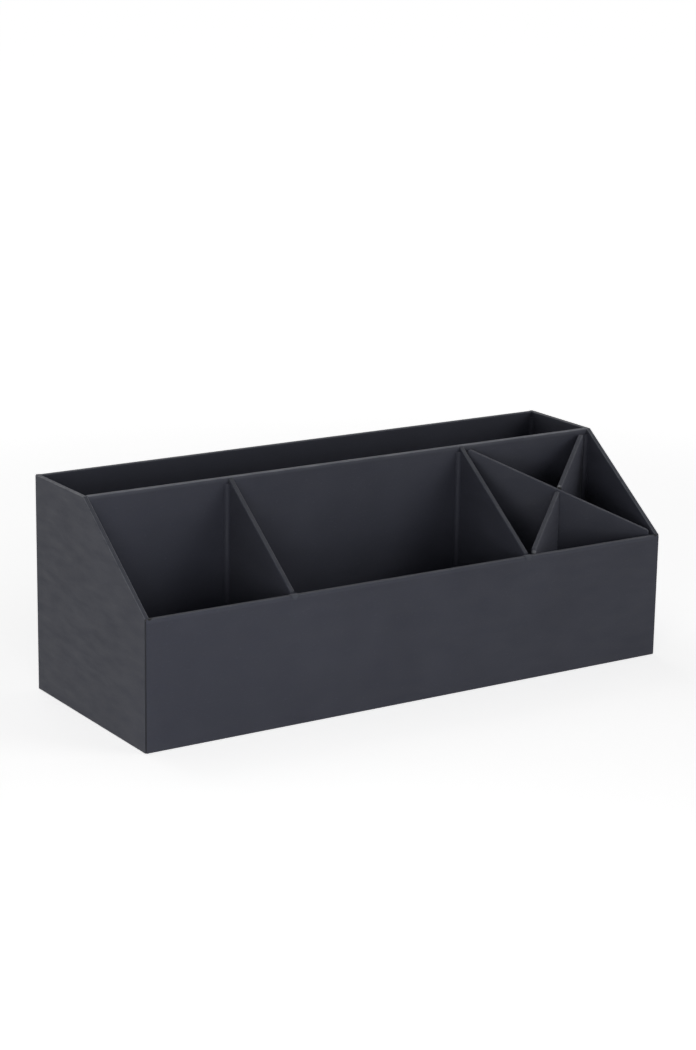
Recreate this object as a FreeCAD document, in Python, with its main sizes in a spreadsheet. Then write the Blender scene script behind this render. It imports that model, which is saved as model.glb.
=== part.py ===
import FreeCAD, Part
import os
import Sketcher

# Open-top desk organizer of paper-covered board, in millimetres.
# Row frame: origin under the middle of the base, +X to the right, +Y to the back, +Z up.
# Every wall is a greyboard core with a thin cover sheet folded over its rim, so each panel is made
# three times from one outline: the board, the hollow that the board and its glue fill, and the
# outside of the sheet. The sheet is the outside less the hollow.

doc = FreeCAD.newDocument("desk_organizer")


# ---------------------------------------------------------------------------------------------
# Driving sizes
# ---------------------------------------------------------------------------------------------

SIZES = [
    ("overall_width", 330.0, "left face to right face"),
    ("overall_depth", 121.6, "tongues on the front face to back face"),
    ("back_height", 119.7, "base to the level rims"),
    ("front_height", 71.0, "base to the front rim"),
    ("front_bay_depth", 63.3, "front wall to partition, clear"),
    ("left_bay_width", 83.8, "left wall to left divider, clear"),
    ("right_bay_width", 87.8, "right divider to right wall, clear"),
    ("board_thickness", 2.1, "greyboard core of every wall and of the base"),
    ("cover_thickness", 0.2, "cover paper"),
    ("glue_line", 0.1, "glue between board and paper"),
    ("underlay_thickness", 0.2, "paper under the base"),
    ("underlay_inset", 4.0, "outer faces to the edge of the underlay"),
    ("turn_in", 15.0, "width of cover sheet folded under the base"),
    ("rim_radius", 0.7, "rounding of a covered rim"),
    ("fold_radius", 0.35, "rounding of the fold at the bottom edge"),
    ("corner_seam", 0.6, "outer corner to the edge of each cover sheet"),
    ("slit_width", 0.45, "relief slit across each end of the front rim"),
    ("slit_offset", 0.3, "side wall to the outer end of that slit"),
    ("slit_margin", 0.45, "faces of the front wall to the ends of that slit"),
    ("slit_depth", 0.6, "front rim to the bottom of that slit"),
    ("cove_radius", 2.2, "bend of the sheet into an inner corner"),
    ("cove_land", 0.5, "flat edge of the sheet past that bend"),
    ("cove_clearance", 0.4, "sloping rims to the top of that bend"),
    ("stay_leg", 12.0, "reach of a corner stay along each wall"),
    ("liner_gap", 0.3, "floor liner to the walls"),
    ("liner_corner", 3.0, "rounding of a floor liner's corners"),
    ("divider_drop", 0.5, "divider rims below the plane of the sloping rims"),
    ("tongue_width", 5.2, "tongue of a divider's sheet that folds over the front rim"),
    ("tongue_drop", 2.6, "front rim to the round end of that tongue"),
    ("tongue_end_radius", 2.4, "rounding of the tongue's end"),
    ("leaf_drop", 0.6, "leaf rims below the plane of the sloping rims"),
    ("leaf_corner_radius", 2.0, "rounding of a leaf's two upper corners"),
    ("leaf_side_gap", 0.5, "leaf end to the walls of the bay"),
    ("leaf_rest_gap", 0.2, "leaf to the floor liner"),
    ("leaf_a_corner_offset", 3.0, "bay corner to where leaf A's middle line meets the wall"),
    ("lap_side_gap", 0.3, "width left over in a half-lap slot"),
    ("lap_depth_gap", 0.4, "height left over where the two slots meet"),
]

sizes = doc.addObject("Spreadsheet::Sheet", "Sizes")
for row, (alias, value, note) in enumerate(SIZES, start=1):
    sizes.set(f"A{row}", note)
    sizes.set(f"B{row}", str(value))
    sizes.setAlias(f"B{row}", alias)


# ---------------------------------------------------------------------------------------------
# Sizes and places that follow from the driving sizes
# ---------------------------------------------------------------------------------------------

LAYOUT = [
    ("skin", "Sizes.cover_thickness + Sizes.glue_line"),
    ("wall", "Sizes.board_thickness + 2 * skin"),
    ("left_face", "-Sizes.overall_width / 2"),
    ("right_face", "Sizes.overall_width / 2"),
    ("front_face", "-Sizes.overall_depth / 2 + Sizes.cover_thickness"),
    ("back_face", "Sizes.overall_depth / 2"),
    ("left_inside", "left_face + wall"),
    ("right_inside", "right_face - wall"),
    ("front_inside", "front_face + wall"),
    ("back_inside", "back_face - wall"),
    ("side_board_inside", "Sizes.overall_width / 2 - skin - Sizes.board_thickness"),
    ("partition_front", "front_inside + Sizes.front_bay_depth"),
    ("partition_back", "partition_front + wall"),
    ("left_divider_left", "left_inside + Sizes.left_bay_width"),
    ("left_divider_right", "left_divider_left + wall"),
    ("right_divider_right", "right_inside - Sizes.right_bay_width"),
    ("right_divider_left", "right_divider_right - wall"),
    ("board_bottom", "Sizes.underlay_thickness + Sizes.cover_thickness + Sizes.glue_line"),
    ("base_top", "board_bottom + Sizes.board_thickness"),
    ("floor_top", "base_top + skin"),
    ("wall_hollow_bottom", "board_bottom - Sizes.glue_line"),
    ("rim_slope", "(Sizes.back_height - Sizes.front_height) / (partition_front - front_face)"),
    ("rim_cosine", "1 / sqrt(1 + rim_slope * rim_slope)"),
    ("seam_x", "Sizes.overall_width / 2 - Sizes.corner_seam"),
    ("seam_front", "front_face + Sizes.corner_seam"),
    ("seam_back", "back_face - Sizes.corner_seam"),
    ("cove_reach", "Sizes.cove_radius + Sizes.cove_land"),
    ("cove_drop", "Sizes.divider_drop + cove_reach * rim_slope + Sizes.rim_radius"
                  " + Sizes.cove_clearance"),
    ("cove_top", "Sizes.back_height - cove_drop"),
    ("overrun", "2 * wall"),
    ("leaf_half_x", "Sizes.right_bay_width / 2"),
    ("leaf_half_y", "Sizes.front_bay_depth / 2"),
    ("leaf_centre_x", "right_inside - leaf_half_x"),
    ("leaf_centre_y", "front_inside + leaf_half_y"),
    ("leaf_a_angle", "atan(leaf_half_y / (leaf_half_x - Sizes.leaf_a_corner_offset))"),
    ("leaf_b_angle", "atan(leaf_half_y / leaf_half_x)"),
    ("leaf_bottom", "floor_top + Sizes.leaf_rest_gap"),
    ("lap_slot", "wall * (1 + cos(leaf_a_angle + leaf_b_angle)) / sin(leaf_a_angle + leaf_b_angle)"
                 " + Sizes.lap_side_gap"),
    ("lap_level", "(leaf_bottom + (Sizes.front_height + Sizes.back_height) / 2) / 2"),
]

layout = doc.addObject("Spreadsheet::Sheet", "Layout")
for row, (alias, formula) in enumerate(LAYOUT, start=1):
    layout.set(f"A{row}", alias)
    layout.set(f"B{row}", "=" + formula)
    layout.setAlias(f"B{row}", alias)
doc.recompute()


def value_of(expression):
    """Number that an expression gives now, used only to start a sketch near its final shape."""
    return float(layout.evalExpression(expression))


# Names used in many expressions below.
SKIN = "Layout.skin"
WALL = "Layout.wall"
PAPER = "Sizes.cover_thickness"
BASE_TOP = "Layout.base_top"
OVERRUN = "Layout.overrun"


# ---------------------------------------------------------------------------------------------
# Building blocks
# ---------------------------------------------------------------------------------------------

def new_body(name):
    body = doc.addObject("PartDesign::Body", name)
    body.Label = name
    return body


def outline(body, name, plane, corners, level="0"):
    """Sketch a closed outline whose corners are pairs of expressions, level above an origin plane."""
    sketch = body.newObject("Sketcher::SketchObject", name)
    support = [item for item in body.Origin.OriginFeatures if item.Role == plane][0]
    sketch.AttachmentSupport = [(support, "")]
    sketch.MapMode = "FlatFace"
    sketch.setExpression("AttachmentOffset.Base.z", level)
    points = [FreeCAD.Vector(value_of(across), value_of(up), 0) for across, up in corners]
    count = len(points)
    for index, point in enumerate(points):
        sketch.addGeometry(Part.LineSegment(point, points[(index + 1) % count]), False)
    for index, (across, up) in enumerate(corners):
        sketch.addConstraint(Sketcher.Constraint("Coincident", index, 2, (index + 1) % count, 1))
        row = sketch.addConstraint(Sketcher.Constraint("DistanceX", index, 1, points[index].x))
        sketch.setExpression(f"Constraints[{row}]", across)
        row = sketch.addConstraint(Sketcher.Constraint("DistanceY", index, 1, points[index].y))
        sketch.setExpression(f"Constraints[{row}]", up)
    return sketch


def rectangle(left, right, low, high):
    return [(left, low), (right, low), (right, high), (left, high)]


def pad(body, name, plane, corners, start, end):
    """Pad an outline from one level to another along the normal of an origin plane."""
    feature = body.newObject("PartDesign::Pad", name)
    feature.Profile = outline(body, name + "_outline", plane, corners, start)
    feature.setExpression("Length", f"({end}) - ({start})")
    doc.recompute()
    return feature


def centred(body, kind, name, corners, width):
    """Pad or pocket an XZ outline by a width that lies evenly about the XZ plane."""
    feature = body.newObject(kind, name)
    feature.Profile = outline(body, name + "_outline", "XZ_Plane", corners)
    feature.SideType = "Symmetric"
    feature.setExpression("Length", width)
    doc.recompute()
    return feature


def pocket(body, name, plane, corners, start, end):
    """Cut an outline between two levels along the normal of an origin plane."""
    feature = body.newObject("PartDesign::Pocket", name)
    feature.Profile = outline(body, name + "_outline", plane, corners, start)
    feature.Reversed = True
    feature.setExpression("Length", f"({end}) - ({start})")
    volume = body.Shape.Volume
    doc.recompute()
    if not body.Shape.Volume < volume:
        raise RuntimeError(body.Label + ": " + name + " removes nothing")
    return feature


def round_edges(body, name, radius, chosen):
    """Fillet the edges of the body so far for which chosen(low point, high point) is true."""
    base = body.Tip
    edges = []
    for number, edge in enumerate(base.Shape.Edges, start=1):
        if len(edge.Vertexes) != 2:
            continue
        first, last = sorted((vertex.Point for vertex in edge.Vertexes), key=lambda point: point.z)
        if chosen(first, last):
            edges.append(f"Edge{number}")
    feature = body.newObject("PartDesign::Fillet", name)
    feature.Base = (base, edges)
    feature.setExpression("Radius", radius)
    doc.recompute()
    return feature


def near(first, second):
    return abs(first - second) < 1e-4


def rim_radius(inset):
    return f"Sizes.rim_radius - ({inset})"


def sloping_rim(y, inset, drop="0"):
    """Height of the sloping rims at y, an inset inside the outside of the sheet."""
    return (f"Sizes.front_height - ({drop}) + (({y}) - Layout.front_face) * Layout.rim_slope"
            f" - ({inset}) / Layout.rim_cosine")


def sheet_over(name, outside, hollow):
    """The cover sheet: the outside of the sheet less the hollow for board and glue."""
    cut = doc.addObject("Part::Cut", name)
    cut.Label = name
    cut.Base = outside
    cut.Tool = hollow
    doc.recompute()
    return cut


nodes = []


# ---------------------------------------------------------------------------------------------
# Base
# ---------------------------------------------------------------------------------------------

def base_board():
    body = new_body("base_board")
    corners = rectangle("-Layout.side_board_inside", "Layout.side_board_inside",
                        f"Layout.front_inside - {SKIN}", f"Layout.back_inside + {SKIN}")
    pad(body, "board", "XY_Plane", corners, "Layout.board_bottom", BASE_TOP)
    return body


def base_underlay():
    """Paper under the base, over the turned-in edges of the cover sheets."""
    body = new_body("base_underlay")
    inset = "Sizes.underlay_inset"
    corners = rectangle(f"Layout.left_face + {inset}", f"Layout.right_face - {inset}",
                        f"Layout.front_face + {inset}", f"Layout.back_face - {inset}")
    pad(body, "sheet", "XY_Plane", corners, "0", "Sizes.underlay_thickness")
    round_edges(body, "corners", "Sizes.liner_corner", lambda low, high: high.z - low.z > 1e-4)
    return body


def floor_liner(name, left, right, front, back):
    """Paper on the base board, cut to fit one bay."""
    body = new_body(name)
    gap = "Sizes.liner_gap"
    corners = rectangle(f"{left} + {gap}", f"{right} - {gap}", f"{front} + {gap}", f"{back} - {gap}")
    pad(body, "sheet", "XY_Plane", corners, f"{BASE_TOP} + Sizes.glue_line", "Layout.floor_top")
    round_edges(body, "corners", "Sizes.liner_corner", lambda low, high: high.z - low.z > 1e-4)
    return body


nodes.append(base_board())
nodes.append(base_underlay())
nodes.append(floor_liner("rear_slot_liner", "Layout.left_inside", "Layout.right_inside",
                         "Layout.partition_back", "Layout.back_inside"))
nodes.append(floor_liner("left_bay_liner", "Layout.left_inside", "Layout.left_divider_left",
                         "Layout.front_inside", "Layout.partition_front"))
nodes.append(floor_liner("middle_bay_liner", "Layout.left_divider_right", "Layout.right_divider_left",
                         "Layout.front_inside", "Layout.partition_front"))
nodes.append(floor_liner("right_bay_liner", "Layout.right_divider_right", "Layout.right_inside",
                         "Layout.front_inside", "Layout.partition_front"))


# ---------------------------------------------------------------------------------------------
# Front wall, back wall and partition: straight panels along X
# ---------------------------------------------------------------------------------------------

def straight_panel(name, front, back, top, bottom, left, right, inset):
    """A panel with a level rim, from left to right, with its outline in from the sheet by inset."""
    body = new_body(name)
    corners = rectangle(f"{front} + ({inset})", f"{back} - ({inset})", bottom, f"{top} - ({inset})")
    pad(body, "panel", "YZ_Plane", corners, left, right)
    rim = value_of(f"{top} - ({inset})")
    round_edges(body, "rim", rim_radius(inset),
                lambda low, high: near(low.z, rim) and near(high.z, rim) and near(low.y, high.y))
    return body


def inner_bend(body, name, x, y_low, y_high, face):
    """Edge of a sheet that bends onto a side wall at x, from y_low to y_high, with a soft bend.

    face is +1 where the wall is on the left of the bay and -1 where it is on the right.
    """
    other = f"{x} + {PAPER}" if face > 0 else f"{x} - {PAPER}"
    low, high = (x, other) if face > 0 else (other, x)
    corners = rectangle(low, high, y_low, y_high)
    pad(body, name, "XY_Plane", corners, BASE_TOP, "Layout.cove_top")


def bend_edges(body, name, places):
    """Round the upright inner corners at the given (x, y) places."""
    spots = [(value_of(x), value_of(y)) for x, y in places]

    def chosen(low, high):
        upright = near(low.x, high.x) and near(low.y, high.y) and high.z > low.z + 1
        return upright and any(near(low.x, x) and near(low.y, y) for x, y in spots)

    round_edges(body, name, "Sizes.cove_radius", chosen)


def outer_wall(name, front, back, top, outer, bends):
    """Front or back wall: board and cover sheet. outer is -1 for the front and +1 for the back."""
    side = "Layout.side_board_inside"
    board = straight_panel(name + "_board", front, back, top, "Layout.board_bottom",
                           f"-{side}", side, SKIN)
    left, right = "Layout.left_inside", "Layout.right_inside"
    outside = straight_panel(name + "_sheet_outside", front, back, top, BASE_TOP, left, right, "0")
    hollow = straight_panel(name + "_sheet_hollow", front, back, top, "Layout.wall_hollow_bottom",
                            f"{left} - {OVERRUN}", f"{right} + {OVERRUN}", PAPER)

    # The outer face of the sheet runs on to the corners and down to the turned-in edge. The sketch
    # plane faces the front, so levels are counted towards the front.
    shoulder = f"{top} - Sizes.rim_radius"
    lip = "Sizes.underlay_thickness"
    face = [("-Layout.seam_x", lip), ("Layout.seam_x", lip), ("Layout.seam_x", top), (right, top),
            (right, shoulder), (left, shoulder), (left, top), ("-Layout.seam_x", top)]
    if outer < 0:
        pad(outside, "outer_face", "XZ_Plane", face, f"-({front} + {PAPER})", f"-({front})")
        edge, inner_edge = front, f"{front} + Sizes.turn_in"
    else:
        pad(outside, "outer_face", "XZ_Plane", face, f"-({back})", f"-({back} - {PAPER})")
        edge, inner_edge = back, f"{back} - Sizes.turn_in"
    narrow = "Layout.seam_x - Sizes.turn_in"
    turned_in = [("-Layout.seam_x", edge), ("Layout.seam_x", edge),
                 (narrow, inner_edge), (f"-({narrow})", inner_edge)]
    pad(outside, "turned_in_edge", "XY_Plane", turned_in, lip, f"{lip} + {PAPER}")
    fold_y = value_of(edge)
    fold_z = value_of(lip)
    round_edges(outside, "bottom_fold", "Sizes.fold_radius",
                lambda low, high: near(low.z, fold_z) and near(high.z, fold_z)
                and near(low.y, fold_y) and near(high.y, fold_y))

    # In the bays the sheet bends softly onto the side walls.
    if bends:
        inside = front if outer > 0 else back
        inner_bend(outside, "left_bend", left, f"{inside} - Layout.cove_reach",
                   f"{inside} + {PAPER}", 1)
        inner_bend(outside, "right_bend", right, f"{inside} - Layout.cove_reach",
                   f"{inside} + {PAPER}", -1)
        bend_edges(outside, "soft_bends", [(f"{left} + {PAPER}", inside),
                                           (f"{right} - {PAPER}", inside)])
    else:
        relief_slit(outside, "left_slit", left, 1)
        relief_slit(outside, "right_slit", right, -1)
    return board, sheet_over(name + "_cover", outside, hollow)


def relief_slit(body, name, wall, towards):
    """Slanting cut in the front rim that lets the sheet turn over it. towards is the way inwards."""
    low = "Layout.front_face + Sizes.slit_margin"
    high = "Layout.front_inside - Sizes.slit_margin"
    start = f"{wall} + {towards} * Sizes.slit_offset"
    lean = f"{towards} * ({WALL} - 2 * Sizes.slit_margin)"
    width = f"{towards} * Sizes.slit_width"
    corners = [(start, low), (f"{start} + {width}", low),
               (f"{start} + {width} + {lean}", high), (f"{start} + {lean}", high)]
    pocket(body, name, "XY_Plane", corners, "Sizes.front_height - Sizes.slit_depth",
           "Sizes.front_height + 1")


nodes.extend(outer_wall("front", "Layout.front_face", "Layout.front_inside",
                        "Sizes.front_height", -1, False))
nodes.extend(outer_wall("back", "Layout.back_inside", "Layout.back_face",
                        "Sizes.back_height", 1, True))


def partition():
    """Full-width partition between the rear slot and the front bays."""
    left, right = "Layout.left_inside", "Layout.right_inside"
    front, back, top = "Layout.partition_front", "Layout.partition_back", "Sizes.back_height"
    board = straight_panel("partition_board", front, back, top, BASE_TOP, left, right, SKIN)
    outside = straight_panel("partition_sheet_outside", front, back, top, BASE_TOP, left, right, "0")
    hollow = straight_panel("partition_sheet_hollow", front, back, top, f"{BASE_TOP} - {OVERRUN}",
                            f"{left} - {OVERRUN}", f"{right} + {OVERRUN}", PAPER)
    near_side = f"{front} - Layout.cove_reach"
    far_side = f"{back} + Layout.cove_reach"
    inner_bend(outside, "left_bend", left, near_side, far_side, 1)
    inner_bend(outside, "right_bend", right, near_side, far_side, -1)
    bend_edges(outside, "soft_bends", [(f"{x}", y) for x in (f"{left} + {PAPER}", f"{right} - {PAPER}")
                                       for y in (front, back)])
    return board, sheet_over("partition_cover", outside, hollow)


nodes.extend(partition())


# ---------------------------------------------------------------------------------------------
# Side walls: level rim at the back, sloping rim at the front
# ---------------------------------------------------------------------------------------------

def side_outline(front, back, bottom, inset):
    """Five-cornered outline of a side wall in the YZ plane."""
    level = f"Sizes.back_height - ({inset})"
    turn = (f"Layout.partition_front + ({inset}) * (1 / Layout.rim_cosine - 1) / Layout.rim_slope")
    return [(front, bottom), (back, bottom), (back, level), (turn, level),
            (front, sloping_rim(front, inset))]


def side_panel(name, left, right, front, back, bottom, inset):
    """A side wall between two X places, with both rim edges rounded all the way along."""
    body = new_body(name)
    pad(body, "panel", "YZ_Plane", side_outline(front, back, bottom, inset), left, right)
    floor = value_of(bottom)
    round_edges(body, "rim", rim_radius(inset),
                lambda low, high: low.z > floor + 1 and near(low.x, high.x))
    return body


def side_wall(name, side):
    """Board and cover sheet of a side wall. side is -1 for the left and +1 for the right."""
    outer = "Layout.left_face" if side < 0 else "Layout.right_face"
    inner = "Layout.left_inside" if side < 0 else "Layout.right_inside"

    def across(low_inset, high_inset):
        """X places of a layer, given its distances in from the outer and from the inner face."""
        if side < 0:
            return f"{outer} + {low_inset}", f"{inner} - {high_inset}"
        return f"{inner} + {high_inset}", f"{outer} - {low_inset}"

    left, right = across(SKIN, SKIN)
    board = side_panel(name + "_side_board", left, right, f"Layout.front_face + {SKIN}",
                       f"Layout.back_face - {SKIN}", "Layout.board_bottom", SKIN)
    left, right = across("0", "0")
    outside = side_panel(name + "_side_sheet_outside", left, right, "Layout.seam_front",
                         "Layout.seam_back", BASE_TOP, "0")
    left, right = across(PAPER, PAPER)
    hollow = side_panel(name + "_side_sheet_hollow", left, right, f"Layout.front_face - {OVERRUN}",
                        f"Layout.back_face + {OVERRUN}", "Layout.wall_hollow_bottom", PAPER)

    # The inner face of the sheet stops at the front and back walls, whose boards butt on this one.
    side_board_inside = "Layout.side_board_inside"
    if side < 0:
        low, high = f"-{side_board_inside}", "Layout.left_inside"
    else:
        low, high = "Layout.right_inside", side_board_inside
    front_end = rectangle("Layout.front_face - 1", "Layout.front_inside",
                          f"{BASE_TOP} - 1", "Sizes.front_height")
    pocket(outside, "front_wall_butt", "YZ_Plane", front_end, low, high)
    back_end = rectangle("Layout.back_inside", "Layout.back_face + 1",
                         f"{BASE_TOP} - 1", "Sizes.back_height + 1")
    pocket(outside, "back_wall_butt", "YZ_Plane", back_end, low, high)

    # The outer face of the sheet runs down to the turned-in edge.
    lip = "Sizes.underlay_thickness"
    left, right = (outer, f"{outer} + {PAPER}") if side < 0 else (f"{outer} - {PAPER}", outer)
    skirt = rectangle("Layout.seam_front", "Layout.seam_back", lip, f"{BASE_TOP} + {WALL}")
    pad(outside, "skirt", "YZ_Plane", skirt, left, right)
    inner_edge = f"{outer} + Sizes.turn_in" if side < 0 else f"{outer} - Sizes.turn_in"
    turned_in = [(outer, "Layout.seam_front"),
                 (inner_edge, "Layout.seam_front + Sizes.turn_in"),
                 (inner_edge, "Layout.seam_back - Sizes.turn_in"), (outer, "Layout.seam_back")]
    pad(outside, "turned_in_edge", "XY_Plane", turned_in, lip, f"{lip} + {PAPER}")
    fold_x = value_of(outer)
    fold_z = value_of(lip)
    round_edges(outside, "bottom_fold", "Sizes.fold_radius",
                lambda low, high: near(low.z, fold_z) and near(high.z, fold_z)
                and near(low.x, fold_x) and near(high.x, fold_x))
    return board, sheet_over(name + "_side_cover", outside, hollow)


nodes.extend(side_wall("left", -1))
nodes.extend(side_wall("right", 1))


# ---------------------------------------------------------------------------------------------
# Dividers: upright panels from the front wall to the partition, with sloping rims
# ---------------------------------------------------------------------------------------------

def divider_panel(name, left, right, front, back, bottom, inset):
    """A divider between two X places. Its rim is rounded, and so is the rim's front end."""
    body = new_body(name)
    drop = "Sizes.divider_drop"
    corners = [(front, bottom), (back, bottom), (back, sloping_rim(back, inset, drop)),
               (front, sloping_rim(front, inset, drop))]
    pad(body, "panel", "YZ_Plane", corners, left, right)
    front_end = value_of(front)
    floor = value_of(bottom)

    def chosen(low, high):
        along_rim = near(low.x, high.x) and high.y > low.y + 1 and high.z > low.z + 1
        across_front = near(low.y, front_end) and near(high.y, front_end) and low.z > floor + 1
        return along_rim or across_front

    round_edges(body, "rim", rim_radius(inset), chosen)
    return body


def rim_tongue(name, left, right):
    """Tongue of a divider's sheet: over the front rim and down the front face to a round end."""
    face, inside, top = "Layout.front_face", "Layout.front_inside", "Sizes.front_height"
    start = f"({left} + {right} - Sizes.tongue_width) / 2"
    end = f"({left} + {right} + Sizes.tongue_width) / 2"
    foot = f"{top} - Sizes.tongue_drop"
    crown = f"{top} + {PAPER}"

    strip = new_body(name + "_strip")
    corners = [(face, top), (inside, top), (inside, crown), (f"{face} - {PAPER}", crown),
               (f"{face} - {PAPER}", foot), (face, foot)]
    pad(strip, "folded_strip", "YZ_Plane", corners, start, end)
    for feature, y, z, radius in (("fold_inside", face, top, "Sizes.rim_radius"),
                                  ("fold_outside", f"{face} - {PAPER}", crown,
                                   f"Sizes.rim_radius + {PAPER}")):
        fold_y, fold_z = value_of(y), value_of(z)
        round_edges(strip, feature, radius,
                    lambda low, high: all(near(point.y, fold_y) and near(point.z, fold_z)
                                          for point in (low, high)))

    front_view = new_body(name + "_front_view")
    pad(front_view, "front_view", "XZ_Plane", rectangle(start, end, foot, crown),
        f"-({inside})", f"-({face} - {PAPER})")
    foot_z = value_of(foot)
    round_edges(front_view, "round_end", "Sizes.tongue_end_radius",
                lambda low, high: near(low.z, foot_z) and near(high.z, foot_z)
                and near(low.x, high.x))

    tongue = doc.addObject("Part::Common", name)
    tongue.Base = strip
    tongue.Tool = front_view
    doc.recompute()
    return tongue


def divider(name, left, right):
    """Board of a divider between two X places, and its cover sheet with the tongue at the front."""
    front, back = "Layout.front_inside", "Layout.partition_front"
    board = divider_panel(name + "_board", f"{left} + {SKIN}", f"{right} - {SKIN}",
                          f"{front} + {SKIN}", back, BASE_TOP, SKIN)
    outside = divider_panel(name + "_sheet_outside", left, right, front, back, BASE_TOP, "0")
    hollow = divider_panel(name + "_sheet_hollow", f"{left} + {PAPER}", f"{right} - {PAPER}",
                           f"{front} + {PAPER}", f"{back} + {OVERRUN}", f"{BASE_TOP} - {OVERRUN}",
                           PAPER)
    bend = rectangle(f"{left} - Layout.cove_reach", f"{right} + Layout.cove_reach",
                     f"{back} - {PAPER}", back)
    pad(outside, "rear_bend", "XY_Plane", bend, BASE_TOP, "Layout.cove_top")
    bend_edges(outside, "soft_bends", [(left, f"{back} - {PAPER}"), (right, f"{back} - {PAPER}")])
    cover = doc.addObject("Part::Fuse", name + "_cover")
    cover.Label = name + "_cover"
    cover.Base = sheet_over(name + "_sheet", outside, hollow)
    cover.Tool = rim_tongue(name + "_tongue", left, right)
    doc.recompute()
    return board, cover


nodes.extend(divider("left_divider", "Layout.left_divider_left", "Layout.left_divider_right"))
nodes.extend(divider("right_divider", "Layout.right_divider_left", "Layout.right_divider_right"))


# ---------------------------------------------------------------------------------------------
# Cross insert: two leaves halved into each other, which drop into the right bay
# ---------------------------------------------------------------------------------------------

def leaf_reach(angle):
    """Half the length of a leaf that stands at an angle with leaf_side_gap to the nearest wall."""
    corner = "Sizes.rim_radius"
    edge = f"({WALL} / 2 - {corner})"
    room_y = f"(Layout.leaf_half_y - Sizes.leaf_side_gap - {corner} - {edge} * cos({angle}))"
    room_x = f"(Layout.leaf_half_x - Sizes.leaf_side_gap - {corner} - {edge} * sin({angle}))"
    return f"({corner} + min({room_y} / sin({angle}); {room_x} / cos({angle})))"


def leaf_panel(name, angle, turn, bottom, inset):
    """A leaf along its own X axis. Its rim follows the slope, and its upper corners are soft."""
    body = new_body(name)
    reach = f"({leaf_reach(angle)} - ({inset}))"
    middle = (f"((Sizes.front_height + Sizes.back_height) / 2 + {WALL} / 2 * Layout.rim_slope"
              f" - Sizes.leaf_drop - ({inset}))")
    climb = f"{reach} * Layout.rim_slope * sin({angle}) * {turn}"
    corners = [(f"-{reach}", bottom), (reach, bottom), (reach, f"{middle} + {climb}"),
               (f"-{reach}", f"{middle} - {climb}")]
    centred(body, "PartDesign::Pad", "panel", corners, f"{WALL} - 2 * ({inset})")
    floor = value_of(bottom)
    round_edges(body, "upper_corners", f"Sizes.leaf_corner_radius - ({inset})",
                lambda low, high: low.z > floor + 1 and near(low.x, high.x) and near(low.z, high.z))
    round_edges(body, "rim_and_ends", rim_radius(inset),
                lambda low, high: high.z > floor + 1 and near(low.y, high.y))
    return body


def lap_slot(body, from_top):
    """Slot that takes the other leaf, cut down from the rim or up from the bottom edge."""
    half = "Layout.lap_slot / 2"
    if from_top:
        low, high = "Layout.lap_level", "Sizes.back_height + 1"
    else:
        low, high = "0", "Layout.lap_level + Sizes.lap_depth_gap"
    centred(body, "PartDesign::Pocket", "lap_slot", rectangle(f"-{half}", half, low, high),
            f"2 * {WALL}")


def stand_leaf(item, angle, turn):
    """Turn a leaf to its angle about the middle of the bay."""
    item.setExpression("Placement.Base.x", "Layout.leaf_centre_x")
    item.setExpression("Placement.Base.y", "Layout.leaf_centre_y")
    item.setExpression("Placement.Rotation.Angle", f"{turn} * {angle}")


def leaf(name, angle, turn, from_top):
    """Board and cover sheet of a leaf. turn is 1 where it runs to the rear right, else -1."""
    board = leaf_panel(name + "_board", angle, turn, "Layout.leaf_bottom", SKIN)
    lap_slot(board, from_top)
    outside = leaf_panel(name + "_sheet_outside", angle, turn, "Layout.leaf_bottom", "0")
    lap_slot(outside, from_top)
    hollow = leaf_panel(name + "_sheet_hollow", angle, turn, f"Layout.leaf_bottom - {OVERRUN}", PAPER)
    stand_leaf(board, angle, turn)
    cover = sheet_over(name + "_cover", outside, hollow)
    stand_leaf(cover, angle, turn)
    return board, cover


nodes.extend(leaf("cross_leaf_a", "Layout.leaf_a_angle", 1, True))
nodes.extend(leaf("cross_leaf_b", "Layout.leaf_b_angle", -1, False))


# ---------------------------------------------------------------------------------------------
# Corner stays: tape over the board joints, in the glue line under the cover sheets
# ---------------------------------------------------------------------------------------------

def corner_stay(name, back):
    """Tape around a left outer corner of the boards, at the front or at the back."""
    outer, inner = f"Layout.left_face + {PAPER}", f"Layout.left_face + {SKIN}"
    leg = "Layout.left_face + Sizes.stay_leg"
    if back:
        edge, board = f"Layout.back_face - {PAPER}", f"Layout.back_face - {SKIN}"
        far = "Layout.back_face - Sizes.stay_leg"
        top = "Sizes.back_height"
    else:
        edge, board = f"Layout.front_face + {PAPER}", f"Layout.front_face + {SKIN}"
        far = "Layout.front_face + Sizes.stay_leg"
        top = "Sizes.front_height"
    corners = [(outer, edge), (leg, edge), (leg, board), (inner, board), (inner, far), (outer, far)]
    body = new_body(name)
    pad(body, "tape", "XY_Plane", corners, "Layout.board_bottom", f"{top} - {SKIN} - Sizes.rim_radius")
    return body


def mirrored(source, name):
    copy = doc.addObject("Part::Mirroring", name)
    copy.Source = source
    copy.Normal = (1, 0, 0)
    doc.recompute()
    return copy


left_stays = [corner_stay("left_front_stay", False), corner_stay("left_back_stay", True)]
right_stays = [mirrored(stay, stay.Name.replace("left", "right")) for stay in left_stays]
stays = doc.addObject("Part::Compound", "corner_stays")
stays.Label = "corner_stays"
stays.Links = left_stays + right_stays
doc.recompute()
nodes.append(stays)


# ---------------------------------------------------------------------------------------------
# Check and write
# ---------------------------------------------------------------------------------------------

for item in doc.Objects:
    if "Invalid" in item.State or "Error" in item.State:
        raise RuntimeError(item.Label + " is " + ", ".join(item.State))

os.makedirs("parts", exist_ok=True)
for node in nodes:
    shape = node.Shape
    if shape.isNull() or not shape.isValid():
        raise RuntimeError(node.Label + " has no valid shape")
    shape.exportStep("parts/" + node.Label + ".step")
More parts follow.
